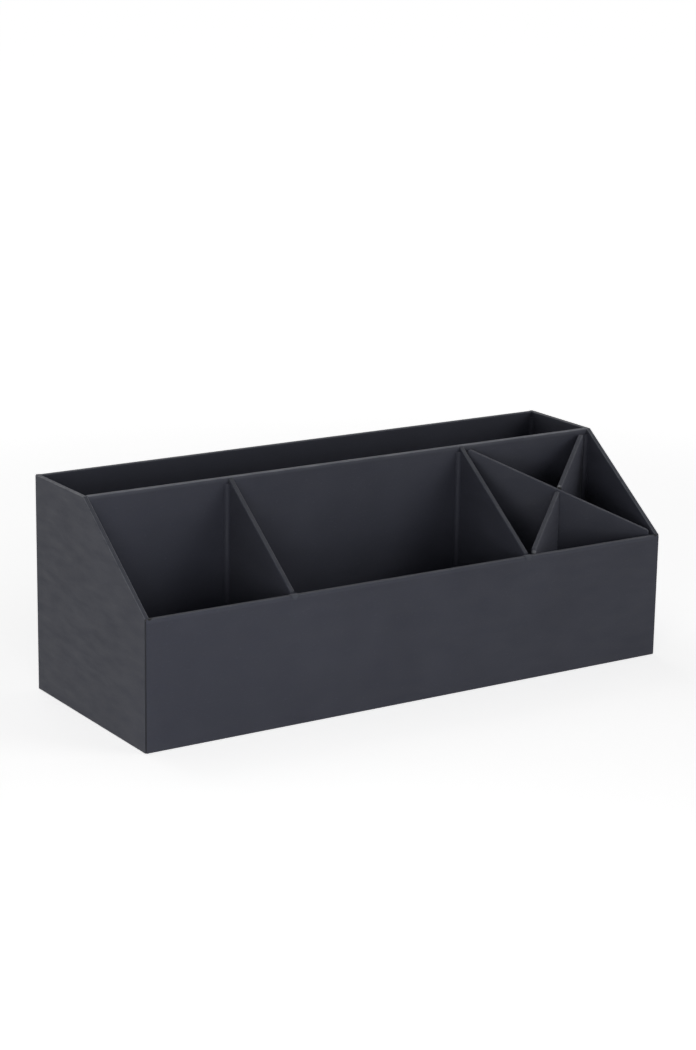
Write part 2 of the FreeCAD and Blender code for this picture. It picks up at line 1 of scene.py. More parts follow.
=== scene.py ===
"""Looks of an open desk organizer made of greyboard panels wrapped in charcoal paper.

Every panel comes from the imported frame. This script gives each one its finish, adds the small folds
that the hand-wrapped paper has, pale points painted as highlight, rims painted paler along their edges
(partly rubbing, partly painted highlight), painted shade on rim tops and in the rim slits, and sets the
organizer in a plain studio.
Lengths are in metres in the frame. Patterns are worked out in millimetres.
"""

import logging
import math
from dataclasses import dataclass, field
from enum import Enum
from typing import Any

import bmesh
import bpy
from mathutils import Euler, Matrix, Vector


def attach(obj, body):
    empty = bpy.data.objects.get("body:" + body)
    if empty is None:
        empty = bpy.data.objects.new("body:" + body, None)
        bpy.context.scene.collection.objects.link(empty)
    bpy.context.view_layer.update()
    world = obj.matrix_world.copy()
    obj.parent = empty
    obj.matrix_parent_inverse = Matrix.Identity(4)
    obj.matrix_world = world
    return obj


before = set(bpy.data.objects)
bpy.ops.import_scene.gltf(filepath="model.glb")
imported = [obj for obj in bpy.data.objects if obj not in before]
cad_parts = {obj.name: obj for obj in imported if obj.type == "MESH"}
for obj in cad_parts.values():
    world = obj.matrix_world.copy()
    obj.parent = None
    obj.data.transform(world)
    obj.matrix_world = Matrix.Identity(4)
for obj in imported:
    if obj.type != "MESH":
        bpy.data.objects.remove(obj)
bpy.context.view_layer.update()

LOG = logging.getLogger("organizer")
MM = 0.001
PICTURE = (696, 1050)

# Typical for paper and board, which are both cellulose.
CELLULOSE_IOR = 1.47
# Blender's wave texture repeats every WAVE_PERIOD / Scale.
WAVE_PERIOD = 0.31
SMOOTH = {"interpolation_type": "SMOOTHSTEP"}
COLOURS = {"data_type": "RGBA"}
WHITE = (1.0, 1.0, 1.0, 1.0)

Colour = tuple[float, float, float, float]
Place = tuple[float, float, float]
Band = tuple[float, float]
Tree = bpy.types.NodeTree
Socket = bpy.types.NodeSocket


# ---------------------------------------------------------------------------------------------
# Helpers
# ---------------------------------------------------------------------------------------------

def linear(code: str) -> Colour:
    """Turn an sRGB hex colour into linear RGBA.

    Args:
        code: colour such as "#3F4147".

    Returns:
        Red, green and blue as Blender's colour sockets take them, with alpha 1.
    """
    values = [int(code[i:i + 2], 16) / 255 for i in (1, 3, 5)]
    red, green, blue = (v / 12.92 if v <= 0.04045 else ((v + 0.055) / 1.055) ** 2.4
                        for v in values)
    return red, green, blue, 1.0


def add_node(tree: Tree, kind: str, settings: dict[str, Any] | None = None,
             inputs: dict[int | str, Any] | None = None) -> bpy.types.Node:
    """Add one node with its settings and links.

    Args:
        tree: node tree that gets the node.
        kind: Blender's name for the kind of node.
        settings: the node's own properties by name.
        inputs: what goes into each socket, by name or number: an output socket to link, or a value.

    Returns:
        The new node.
    """
    node = tree.nodes.new(kind)
    for name, value in (settings or {}).items():
        setattr(node, name, value)
    for key, value in (inputs or {}).items():
        if isinstance(value, bpy.types.NodeSocket):
            tree.links.new(value, node.inputs[key])
        else:
            node.inputs[key].default_value = value
    return node


def new_material(name: str) -> tuple[bpy.types.Material, Tree]:
    """Make an empty node material.

    Args:
        name: name of the material and its surface.

    Returns:
        The material and its node tree.
    """
    material = bpy.data.materials.new(name)
    material.use_nodes = True
    material.node_tree.nodes.clear()
    return material, material.node_tree


@dataclass(frozen=True)
class Ground:
    """What every finish starts from.

    Attributes:
        tree: node tree of the material.
        place: place on the object in millimetres.
        normal: direction of the surface in the object's own axes.
    """

    tree: Tree
    place: Socket
    normal: Socket

    @classmethod
    def of(cls, tree: Tree) -> "Ground":
        """Read place and direction from the object's own axes.

        Args:
            tree: node tree of the material.

        Returns:
            Ground of the finish.
        """
        where = add_node(tree, "ShaderNodeTexCoord")
        place = add_node(tree, "ShaderNodeVectorMath", {"operation": "SCALE"},
                         {0: where.outputs["Object"], "Scale": 1 / MM}).outputs[0]
        return cls(tree, place, where.outputs["Normal"])


# ---------------------------------------------------------------------------------------------
# Finishes
# ---------------------------------------------------------------------------------------------

class Facing(Enum):
    """Direction of a panel's thickness, which is at right angles to both its faces."""

    FRONT = (0.0, 1.0, 0.0)
    SIDE = (1.0, 0.0, 0.0)
    UP = (0.0, 0.0, 1.0)


@dataclass(frozen=True)
class EdgePlane:
    """Plane near an edge of a sheet. Inside the sheet the distance grows away from it.

    Attributes:
        normal: direction into the sheet, of length 1.
        offset: millimetres added so that the distance is 0 at the edge.
    """

    normal: Place
    offset: float


@dataclass(frozen=True)
class Mark:
    """Small spot on a sheet that differs from the rest of it.

    Attributes:
        place: middle of the spot in millimetres.
        reach: distance in millimetres at which it has faded out.
        tone: sRGB colour at its middle.
    """

    place: Place
    reach: float
    tone: str


@dataclass(frozen=True)
class CoverPaper:
    """Uncoated charcoal cover paper, dyed in the mass and wrapped over board.

    To the eye it is a matt, slightly blue dark grey with short fibres along the grain, faint clouds
    where the pulp is denser, and rims rubbed paler and smoother where hands and pens touch them.
    The paler rim edges are partly that rubbing and partly painted highlight, and the flat rim tops
    carry painted shade.
    """

    name: str
    facing: Place
    rims: tuple[EdgePlane, ...] = ()
    corners: tuple[EdgePlane, ...] = ()
    marks: tuple[Mark, ...] = ()

    tone: str = "#383A46"
    pale: str = "#535561"
    deep: str = "#2F313C"
    # Paler tone of rubbing, which on rims and corners also carries painted highlight.
    rubbed_and_highlight: str = "#5F6169"
    # Tone of the painted shade on the flat tops of rims.
    painted_shade: str = "#1B1D22"
    roughness: Band = (0.56, 0.70)
    polish: float = 0.15
    specular: float = 0.4
    sheen: float = 0.05
    sheen_roughness: float = 0.6

    # A real fibre is about 0.03 mm wide and 1 to 2 mm long. It is drawn 0.3 mm wide, the finest
    # that a render of the whole organizer can still show.
    fibre_mm: float = 0.3
    fibre_pitch: float = 2.2
    fibre_stretch: Place = (0.28, 1.0, 1.0)
    formation_mm: float = 5.0
    handling_mm: float = 45.0

    # Each noise starts to show at the band's first value and shows most, by its share, at the last.
    fleck_band: Band = (0.56, 0.72)
    fleck_share: float = 0.30
    cloud_band: Band = (0.35, 0.68)
    cloud_share: float = 0.30
    grip_band: Band = (0.40, 0.65)
    grip_share: float = 0.16
    rough_band: Band = (0.3, 0.7)

    # Heights of the fibres' tooth, of the cockle from damp glue and of the panel's warp.
    tooth_mm: float = 0.03
    cockle_mm: float = 0.10
    warp_mm: float = 0.3
    relief: float = 0.5

    # Wear of rims, corners and faces, and the clouds that break it up. On rims and corners it is
    # partly rubbing and partly painted highlight.
    rim_wear_and_highlight_mm: float = 2.8
    corner_wear_and_highlight_mm: float = 0.8
    bend_gain: float = 3.4
    rubbed_and_highlight_top: float = 0.0
    broken_band: Band = (0.3, 0.7)
    broken_share: Band = (0.35, 0.8)
    scuff_band: Band = (0.75, 1.0)
    scuff_share: float = 0.1

    # Painted shade on the flat top of a rim, which is no deeper than top_mm.
    top_shade: float = 0.4
    top_mm: float = 1.0
    top_band: Band = (0.1, 0.6)

    # Painted highlight in a band below the fold of the rim.
    highlight_band_mm: float = 0.0
    highlight_band_edge: Band = (0.8, 1.2)
    highlight_band_share: float = 0.2
    mark_core: float = 0.3

    @property
    def grain_turn(self) -> float:
        """Turn about Z of the fibres, which run along the panel."""
        return math.atan2(self.facing[1], self.facing[0]) - math.pi / 2 if self.facing[2] == 0 else 0.0

    def distance(self, ground: Ground, planes: tuple[EdgePlane, ...]) -> Socket:
        """Distance in millimetres to the nearest of some edge planes.

        Args:
            ground: ground of the material.
            planes: one or more edge planes.

        Returns:
            Socket with the distance.
        """
        nearest = None
        for plane in planes:
            along = add_node(ground.tree, "ShaderNodeVectorMath", {"operation": "DOT_PRODUCT"},
                             {0: ground.place, 1: plane.normal}).outputs["Value"]
            here = add_node(ground.tree, "ShaderNodeMath", {"operation": "ADD"},
                            {0: along, 1: plane.offset}).outputs[0]
            nearest = here if nearest is None else add_node(
                ground.tree, "ShaderNodeMath", {"operation": "MINIMUM"},
                {0: nearest, 1: here}).outputs[0]
        return nearest

    def outward(self, ground: Ground) -> Socket:
        """How far the surface looks the way the panel faces, from -1 to 1."""
        return add_node(ground.tree, "ShaderNodeVectorMath", {"operation": "DOT_PRODUCT"},
                        {0: ground.normal, 1: self.facing}).outputs["Value"]

    def bend(self, ground: Ground) -> Socket:
        """Share of rubbing and painted highlight on the two rounded edges of a rim, which get most of
        both.

        There the surface looks neither up nor out, so 4 t^2 (1 - t^2) is near 1, with t the share
        that looks out.

        Args:
            ground: ground of the material.

        Returns:
            Socket with the share.
        """
        out = self.outward(ground)
        square = add_node(ground.tree, "ShaderNodeMath", {"operation": "MULTIPLY"},
                          {0: out, 1: out}).outputs[0]
        rest = add_node(ground.tree, "ShaderNodeMath", {"operation": "SUBTRACT"},
                        {0: 1.0, 1: square}).outputs[0]
        both = add_node(ground.tree, "ShaderNodeMath", {"operation": "MULTIPLY"},
                        {0: square, 1: rest}).outputs[0]
        return add_node(ground.tree, "ShaderNodeMath", {"operation": "MULTIPLY_ADD"},
                        {0: both, 1: self.bend_gain, 2: self.rubbed_and_highlight_top}).outputs[0]

    def worn_and_highlight(self, ground: Ground, patches: Socket) -> Socket:
        """How much rubbing and, on rims and corners, painted highlight the sheet has, from 0 to 1.

        Args:
            ground: ground of the material.
            patches: noise that breaks the wear up.

        Returns:
            Socket with the share of rubbing and painted highlight.
        """
        tree = ground.tree
        total = None
        for planes, width in ((self.rims, self.rim_wear_and_highlight_mm), (self.corners, self.corner_wear_and_highlight_mm)):
            if not planes:
                continue
            band = add_node(tree, "ShaderNodeMapRange", SMOOTH,
                            {"Value": self.distance(ground, planes), "From Min": 0.0,
                             "From Max": width, "To Min": 1.0, "To Max": 0.0}).outputs[0]
            if planes is self.rims:
                band = add_node(tree, "ShaderNodeMath", {"operation": "MULTIPLY"},
                                {0: band, 1: self.bend(ground)}).outputs[0]
            total = band if total is None else add_node(
                tree, "ShaderNodeMath", {"operation": "MAXIMUM"}, {0: total, 1: band}).outputs[0]
        if total is None:
            start, full = self.scuff_band
            return add_node(tree, "ShaderNodeMapRange", {},
                            {"Value": patches, "From Min": start, "From Max": full,
                             "To Min": 0.0, "To Max": self.scuff_share}).outputs[0]
        start, full = self.broken_band
        least, most = self.broken_share
        broken = add_node(tree, "ShaderNodeMapRange", {},
                          {"Value": patches, "From Min": start, "From Max": full,
                           "To Min": least, "To Max": most}).outputs[0]
        return add_node(tree, "ShaderNodeMath", {"operation": "MULTIPLY"},
                        {0: total, 1: broken}).outputs[0]

    def rim_top(self, ground: Ground) -> Socket:
        """Share of the flat top of a rim, which gets painted shade.

        Args:
            ground: ground of the material.

        Returns:
            Socket that is at its most on the top and 0 on the faces.
        """
        tree = ground.tree
        start, full = self.top_band
        size = add_node(tree, "ShaderNodeMath", {"operation": "ABSOLUTE"},
                        {0: self.outward(ground)}).outputs[0]
        level = add_node(tree, "ShaderNodeMapRange", SMOOTH,
                         {"Value": size, "From Min": start, "From Max": full,
                          "To Min": self.top_shade, "To Max": 0.0}).outputs[0]
        close = add_node(tree, "ShaderNodeMath", {"operation": "LESS_THAN"},
                         {0: self.distance(ground, self.rims), 1: self.top_mm}).outputs[0]
        return add_node(tree, "ShaderNodeMath", {"operation": "MULTIPLY"},
                        {0: level, 1: close}).outputs[0]

    def highlight_band(self, ground: Ground) -> Socket:
        """Share of the band of painted highlight below the fold of the rim.

        Args:
            ground: ground of the material.

        Returns:
            Socket with the share.
        """
        start, end = (edge * self.highlight_band_mm for edge in self.highlight_band_edge)
        return add_node(ground.tree, "ShaderNodeMapRange", SMOOTH,
                        {"Value": self.distance(ground, self.rims), "From Min": start,
                         "From Max": end, "To Min": self.highlight_band_share, "To Max": 0.0}).outputs[0]

    def spot(self, ground: Ground, mark: Mark) -> Socket:
        """Share of a mark.

        Args:
            ground: ground of the material.
            mark: the mark.

        Returns:
            Socket that is 1 in its core and 0 beyond its reach.
        """
        away = add_node(ground.tree, "ShaderNodeVectorMath", {"operation": "DISTANCE"},
                        {0: ground.place, 1: mark.place}).outputs["Value"]
        return add_node(ground.tree, "ShaderNodeMapRange", SMOOTH,
                        {"Value": away, "From Min": self.mark_core * mark.reach,
                         "From Max": mark.reach, "To Min": 1.0, "To Max": 0.0}).outputs[0]

    def noises(self, ground: Ground) -> tuple[Socket, Socket, Socket]:
        """Fibres, clouds and handling of the sheet.

        Args:
            ground: ground of the material.

        Returns:
            Sockets with the three noises.
        """
        tree = ground.tree
        turned = add_node(tree, "ShaderNodeVectorRotate", {"rotation_type": "Z_AXIS"},
                          {"Vector": ground.place, "Angle": -self.grain_turn}).outputs[0]
        along = add_node(tree, "ShaderNodeMapping", {"vector_type": "POINT"},
                         {"Vector": turned, "Scale": self.fibre_stretch}).outputs[0]
        fibres = add_node(tree, "ShaderNodeTexNoise", {},
                          {"Vector": along, "Scale": 1 / (self.fibre_pitch * self.fibre_mm),
                           "Detail": 5.0, "Roughness": 0.7, "Distortion": 0.4}).outputs["Fac"]
        clouds = add_node(tree, "ShaderNodeTexNoise", {},
                          {"Vector": along, "Scale": 1 / self.formation_mm, "Detail": 3.0,
                           "Roughness": 0.55}).outputs["Fac"]
        handling = add_node(tree, "ShaderNodeTexNoise", {},
                            {"Vector": ground.place, "Scale": 1 / self.handling_mm, "Detail": 2.0,
                             "Roughness": 0.5}).outputs["Fac"]
        return fibres, clouds, handling

    def relief_of(self, tree: Tree, fibres: Socket, clouds: Socket, handling: Socket) -> Socket:
        """Tooth, cockle and warp of the sheet, laid over each other.

        Args:
            tree: node tree of the material.
            fibres: noise of the fibres.
            clouds: noise of the pulp.
            handling: noise of the handled panel.

        Returns:
            Socket with the direction of the surface.
        """
        tooth = add_node(tree, "ShaderNodeBump", {},
                         {"Strength": self.relief, "Distance": self.tooth_mm * MM,
                          "Height": fibres}).outputs[0]
        cockle = add_node(tree, "ShaderNodeBump", {},
                          {"Strength": self.relief, "Distance": self.cockle_mm * MM,
                           "Height": clouds, "Normal": tooth}).outputs[0]
        return add_node(tree, "ShaderNodeBump", {},
                        {"Strength": self.relief, "Distance": self.warp_mm * MM,
                         "Height": handling, "Normal": cockle}).outputs[0]

    def material(self) -> bpy.types.Material:
        """Build the material.

        Returns:
            Material of the paper for one direction of grain.
        """
        material, tree = new_material(self.name)
        ground = Ground.of(tree)
        fibres, clouds, handling = self.noises(ground)
        wear_and_highlight = self.worn_and_highlight(ground, clouds)

        layers = []
        for kind, noise, (start, full), share, tone in (
                ({}, clouds, self.cloud_band, self.cloud_share, self.deep),
                (SMOOTH, fibres, self.fleck_band, self.fleck_share, self.pale),
                ({}, handling, self.grip_band, self.grip_share, self.pale)):
            shown = add_node(tree, "ShaderNodeMapRange", kind,
                             {"Value": noise, "From Min": start, "From Max": full,
                              "To Min": 0.0, "To Max": share}).outputs[0]
            layers.append((shown, tone))
        if self.rims:
            # Painted shade on the flat tops of rims.
            layers.append((self.rim_top(ground), self.painted_shade))
        # Rubbing, with painted highlight on the edges of rims and corners.
        layers.append((wear_and_highlight, self.rubbed_and_highlight))
        # Painted highlight in a band below the fold of the rim.
        if self.highlight_band_mm:
            layers.append((self.highlight_band(ground), self.pale))
        layers.extend((self.spot(ground, mark), mark.tone) for mark in self.marks)
        colour = linear(self.tone)
        for share, tone in layers:
            colour = add_node(tree, "ShaderNodeMix", COLOURS,
                              {0: share, 6: colour, 7: linear(tone)}).outputs[2]

        (start, full), (low, high) = self.rough_band, self.roughness
        rough = add_node(tree, "ShaderNodeMapRange", {},
                         {"Value": clouds, "From Min": start, "From Max": full,
                          "To Min": high, "To Max": low}).outputs[0]
        polished = add_node(tree, "ShaderNodeMath",
                            {"operation": "MULTIPLY_ADD", "use_clamp": True},
                            {0: wear_and_highlight, 1: -self.polish, 2: rough}).outputs[0]
        shader = add_node(tree, "ShaderNodeBsdfPrincipled", {},
                          {"Base Color": colour, "Roughness": polished,
                           "Normal": self.relief_of(tree, fibres, clouds, handling),
                           "IOR": CELLULOSE_IOR, "Specular IOR Level": self.specular,
                           "Sheen Weight": self.sheen, "Sheen Roughness": self.sheen_roughness})
        add_node(tree, "ShaderNodeOutputMaterial", {}, {"Surface": shader.outputs[0]})
        return material


@dataclass(frozen=True)
class Greyboard:
    """Dense recycled greyboard, die cut.

    To the eye it is a matt grey with dark and pale specks, and fine layers that show at a cut edge.
    Its grey is kept darker than plain greyboard as painted shade, so that gaps which show it read dark.
    """

    name: str = "greyboard_die_cut"
    # Darker than plain greyboard, as painted shade in the gaps that show it.
    tone: str = "#4B4B4C"
    speck: str = "#28282A"
    pale: str = "#5E5D5C"
    speck_mm: float = 0.8
    layer_mm: float = 0.4
    speck_band: Band = (0.62, 0.72)
    speck_share: float = 0.8
    layer_band: Band = (0.4, 1.0)
    layer_share: float = 0.4
    roughness: Band = (0.78, 0.95)
    relief: float = 0.6
    relief_mm: float = 0.06

    def material(self) -> bpy.types.Material:
        """Build the material.

        Returns:
            Material of the board.
        """
        material, tree = new_material(self.name)
        place = Ground.of(tree).place
        specks = add_node(tree, "ShaderNodeTexNoise", {},
                          {"Vector": place, "Scale": 1 / self.speck_mm, "Detail": 4.0,
                           "Roughness": 0.65}).outputs["Fac"]
        layers = add_node(tree, "ShaderNodeTexWave", {"bands_direction": "DIAGONAL"},
                          {"Vector": place, "Scale": WAVE_PERIOD / self.layer_mm,
                           "Distortion": 3.0, "Detail": 2.0}).outputs["Fac"]
        colour = linear(self.tone)
        for noise, (start, full), share, tone in (
                (layers, self.layer_band, self.layer_share, self.pale),
                (specks, self.speck_band, self.speck_share, self.speck)):
            shown = add_node(tree, "ShaderNodeMapRange", {},
                             {"Value": noise, "From Min": start, "From Max": full,
                              "To Min": 0.0, "To Max": share}).outputs[0]
            colour = add_node(tree, "ShaderNodeMix", COLOURS,
                              {0: shown, 6: colour, 7: linear(tone)}).outputs[2]
        low, high = self.roughness
        rough = add_node(tree, "ShaderNodeMapRange", {},
                         {"Value": specks, "To Min": low, "To Max": high}).outputs[0]
        bump = add_node(tree, "ShaderNodeBump", {},
                        {"Strength": self.relief, "Distance": self.relief_mm * MM,
                         "Height": specks}).outputs[0]
        shader = add_node(tree, "ShaderNodeBsdfPrincipled", {},
                          {"Base Color": colour, "Roughness": rough, "Normal": bump,
                           "IOR": CELLULOSE_IOR})
        add_node(tree, "ShaderNodeOutputMaterial", {}, {"Surface": shader.outputs[0]})
        return material


@dataclass(frozen=True)
class GummedTape:
    """Black gummed paper tape, pasted round a corner.

    To the eye it is nearly black, a little glossier than the cover paper, with fine creases across
    it. Its tone is darkened as painted shade, so that the corner seams where it shows read as dark lines.
    """

    name: str = "gummed_tape_black"
    # Darkened as painted shade of the corner seams.
    tone: str = "#12141A"
    pale: str = "#1E2128"
    crease_mm: float = 0.8
    roughness: Band = (0.5, 0.65)
    relief: float = 0.5
    relief_mm: float = 0.04

    def material(self) -> bpy.types.Material:
        """Build the material.

        Returns:
            Material of the tape.
        """
        material, tree = new_material(self.name)
        creases = add_node(tree, "ShaderNodeTexWave", {"bands_direction": "Z"},
                           {"Vector": Ground.of(tree).place, "Scale": WAVE_PERIOD / self.crease_mm,
                            "Distortion": 4.0, "Detail": 3.0}).outputs["Fac"]
        colour = add_node(tree, "ShaderNodeMix", COLOURS,
                          {0: creases, 6: linear(self.tone), 7: linear(self.pale)}).outputs[2]
        low, high = self.roughness
        rough = add_node(tree, "ShaderNodeMapRange", {},
                         {"Value": creases, "To Min": low, "To Max": high}).outputs[0]
        bump = add_node(tree, "ShaderNodeBump", {},
                        {"Strength": self.relief, "Distance": self.relief_mm * MM,
                         "Height": creases}).outputs[0]
        shader = add_node(tree, "ShaderNodeBsdfPrincipled", {},
                          {"Base Color": colour, "Roughness": rough, "Normal": bump,
                           "IOR": CELLULOSE_IOR})
        add_node(tree, "ShaderNodeOutputMaterial", {}, {"Surface": shader.outputs[0]})
        return material


# ---------------------------------------------------------------------------------------------
# Shape of the organizer, as far as the finishes need it
# ---------------------------------------------------------------------------------------------

def extent(node: str) -> tuple[Vector, Vector]:
    """Measure a panel of the frame.

    Args:
        node: name of the panel.

    Returns:
        Its lowest and its highest corner in millimetres.
    """
    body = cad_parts[node]
    corners = [body.matrix_world @ Vector(corner) / MM for corner in body.bound_box]
    low, high = (Vector([pick(corner[axis] for corner in corners) for axis in range(3)])
                 for pick in (min, max))
    return low, high


def broad_side(node: str) -> Place:
    """Find which way a flat panel faces.

    Args:
        node: name of the panel.

    Returns:
        Direction of its thickness, of length 1, with Y upwards of 0.
    """
    widest = max(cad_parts[node].data.polygons, key=lambda face: face.area)
    x, y, _ = widest.normal
    length = math.copysign(math.hypot(x, y), y)
    return x / length, y / length, 0.0


@dataclass(frozen=True)
class Outline:
    """Places in the organizer, in millimetres, that tell the finishes where the edges are."""

    half_width: float
    front: float
    back: float
    low_rim: float
    high_rim: float
    slope_end: float
    wall: float

    underlay: float = 0.2

    @classmethod
    def measured(cls, skin: float = 0.3) -> "Outline":
        """Read the places from the frame.

        Args:
            skin: paper and glue over a board, in millimetres.

        Returns:
            Outline of the organizer.
        """
        front_low, front_high = extent("front_cover")
        back_high = extent("back_cover")[1]
        partition_low, partition_high = extent("partition_board")
        wall = partition_high.y - partition_low.y + 2 * skin
        return cls(extent("right_side_cover")[1].x, front_low.y, back_high.y, front_high.z,
                   back_high.z, partition_low.y - skin, wall)

    @property
    def slope(self) -> float:
        """Rise of the sloping rims per millimetre towards the back."""
        return (self.high_rim - self.low_rim) / (self.slope_end - self.front)

    def level(self, height: float) -> EdgePlane:
        """Level rim at a height."""
        return EdgePlane((0.0, 0.0, -1.0), height)

    def sloping(self, drop: float) -> EdgePlane:
        """Sloping rim, lowered by a drop.

        Args:
            drop: millimetres below the rims of the side walls.

        Returns:
            Plane of the rim.
        """
        cosine = 1 / math.hypot(1, self.slope)
        return EdgePlane((0.0, self.slope * cosine, -cosine),
                         (self.low_rim - drop - self.front * self.slope) * cosine)

    def corners(self, facing: Facing) -> tuple[EdgePlane, ...]:
        """Upright corners and bottom fold of an outer wall.

        Args:
            facing: direction of the wall's thickness.

        Returns:
            Planes of its two ends and of its bottom fold.
        """
        bottom = EdgePlane((0.0, 0.0, 1.0), -self.underlay)
        if facing is Facing.FRONT:
            ends = (EdgePlane((1.0, 0.0, 0.0), self.half_width),
                    EdgePlane((-1.0, 0.0, 0.0), self.half_width))
        else:
            ends = (EdgePlane((0.0, 1.0, 0.0), -self.front), EdgePlane((0.0, -1.0, 0.0), self.back))
        return (*ends, bottom)


OUTLINE = Outline.measured()


@dataclass(frozen=True)
class RimSlit:
    """Slit in the turned-in paper at a front corner of the rim, seen from above.

    Attributes:
        side: -1 at the left corner, 1 at the right one.
        start: its front end, in millimetres.
        run: its reach towards the middle and backwards, in millimetres.
        shade_tone: sRGB colour of the painted shade in the slit.
        shade_shares: places of the painted shade, as shares of the slit's length from its front end.
    """

    side: int
    start: tuple[float, float]
    run: float
    shade_tone: str = "#050608"
    shade_shares: tuple[float, ...] = (-0.3, 0.0, 0.3, 0.6, 0.9)

    @classmethod
    def placed(cls, side: int, offset: float = 0.3, margin: float = 0.45) -> "RimSlit":
        """Place a slit by the walls.

        Args:
            side: -1 at the left corner, 1 at the right one.
            offset: from the side wall's inner face, in millimetres.
            margin: from each face of the front wall, in millimetres.

        Returns:
            The slit.
        """
        x = side * (OUTLINE.half_width - OUTLINE.wall - offset)
        return cls(side, (x, OUTLINE.front + margin), OUTLINE.wall - 2 * margin)

    def at(self, share: float) -> Vector:
        """Point on the middle of the slit, by the share of its length."""
        return Vector((self.start[0] - self.side * share * self.run,
                       self.start[1] + share * self.run, OUTLINE.low_rim))

    def marks(self, reach: float = 1.15) -> tuple[Mark, ...]:
        """Painted shade along the slit and over the fold at its front end.

        Args:
            reach: of each stain, in millimetres.

        Returns:
            Marks for the sheets of the front corner.
        """
        return tuple(Mark(tuple(self.at(share)), reach, self.shade_tone) for share in self.shade_shares)


RIM_SLITS = (RimSlit.placed(-1), RimSlit.placed(1))
# Painted shade in the rim slits, on the sheets of the walls.
SLIT_SHADE_MARKS = tuple(mark for slit in RIM_SLITS for mark in slit.marks())


def dress(node: str, material: bpy.types.Material) -> None:
    """Give a panel of the frame its finish.

    Args:
        node: name of the panel.
        material: its finish.
    """
    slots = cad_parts[node].data.materials
    slots.clear()
    slots.append(material)
    LOG.info("%s: %s", node, material.name)


# ---------------------------------------------------------------------------------------------
# Sub-assemblies
# ---------------------------------------------------------------------------------------------

@dataclass
class Walls:
    """Front, back and side walls.

    Attributes:
        board: finish of the boards.
        highlight_band_mm: height of the front sheet's band of painted highlight below the rim.
        top_shade: share of painted shade on top of the front, back and side rims.
        edges: sRGB colours of the edges of the front and back sheets, and of the side ones, partly
            rubbing and partly painted highlight; the side ones are painted much paler as highlight along
            the side rims.
    """

    board: bpy.types.Material
    highlight_band_mm: float = 2.2
    top_shade: Place = (0.6, 0.0, 0.3)
    # The side edges are painted much paler, as painted highlight along the side rims.
    edges: tuple[str, str] = ("#4C4F57", "#85888F")

    def build(self) -> None:
        """The walls keep their shapes from the frame."""

    def dress(self) -> None:
        """Finish boards and cover sheets."""
        front_top_shade, back_top_shade, side_top_shade = self.top_shade
        long_edge, side_edge = self.edges
        for wall, rim, top_shade, highlight_band_mm in (
                ("front", OUTLINE.low_rim, front_top_shade, self.highlight_band_mm),
                ("back", OUTLINE.high_rim, back_top_shade, 0.0)):
            paper = CoverPaper(f"cover_paper_{wall}", Facing.FRONT.value, (OUTLINE.level(rim),),
                               OUTLINE.corners(Facing.FRONT), SLIT_SHADE_MARKS, rubbed_and_highlight=long_edge,
                               top_shade=top_shade, highlight_band_mm=highlight_band_mm)
            dress(f"{wall}_cover", paper.material())
            dress(f"{wall}_board", self.board)
        sides = CoverPaper("cover_paper_sides", Facing.SIDE.value,
                           (OUTLINE.level(OUTLINE.high_rim), OUTLINE.sloping(0.0)),
                           OUTLINE.corners(Facing.SIDE), SLIT_SHADE_MARKS, rubbed_and_highlight=side_edge,
                           top_shade=side_top_shade).material()
        for side in ("left", "right"):
            dress(f"{side}_side_cover", sides)
            dress(f"{side}_side_board", self.board)


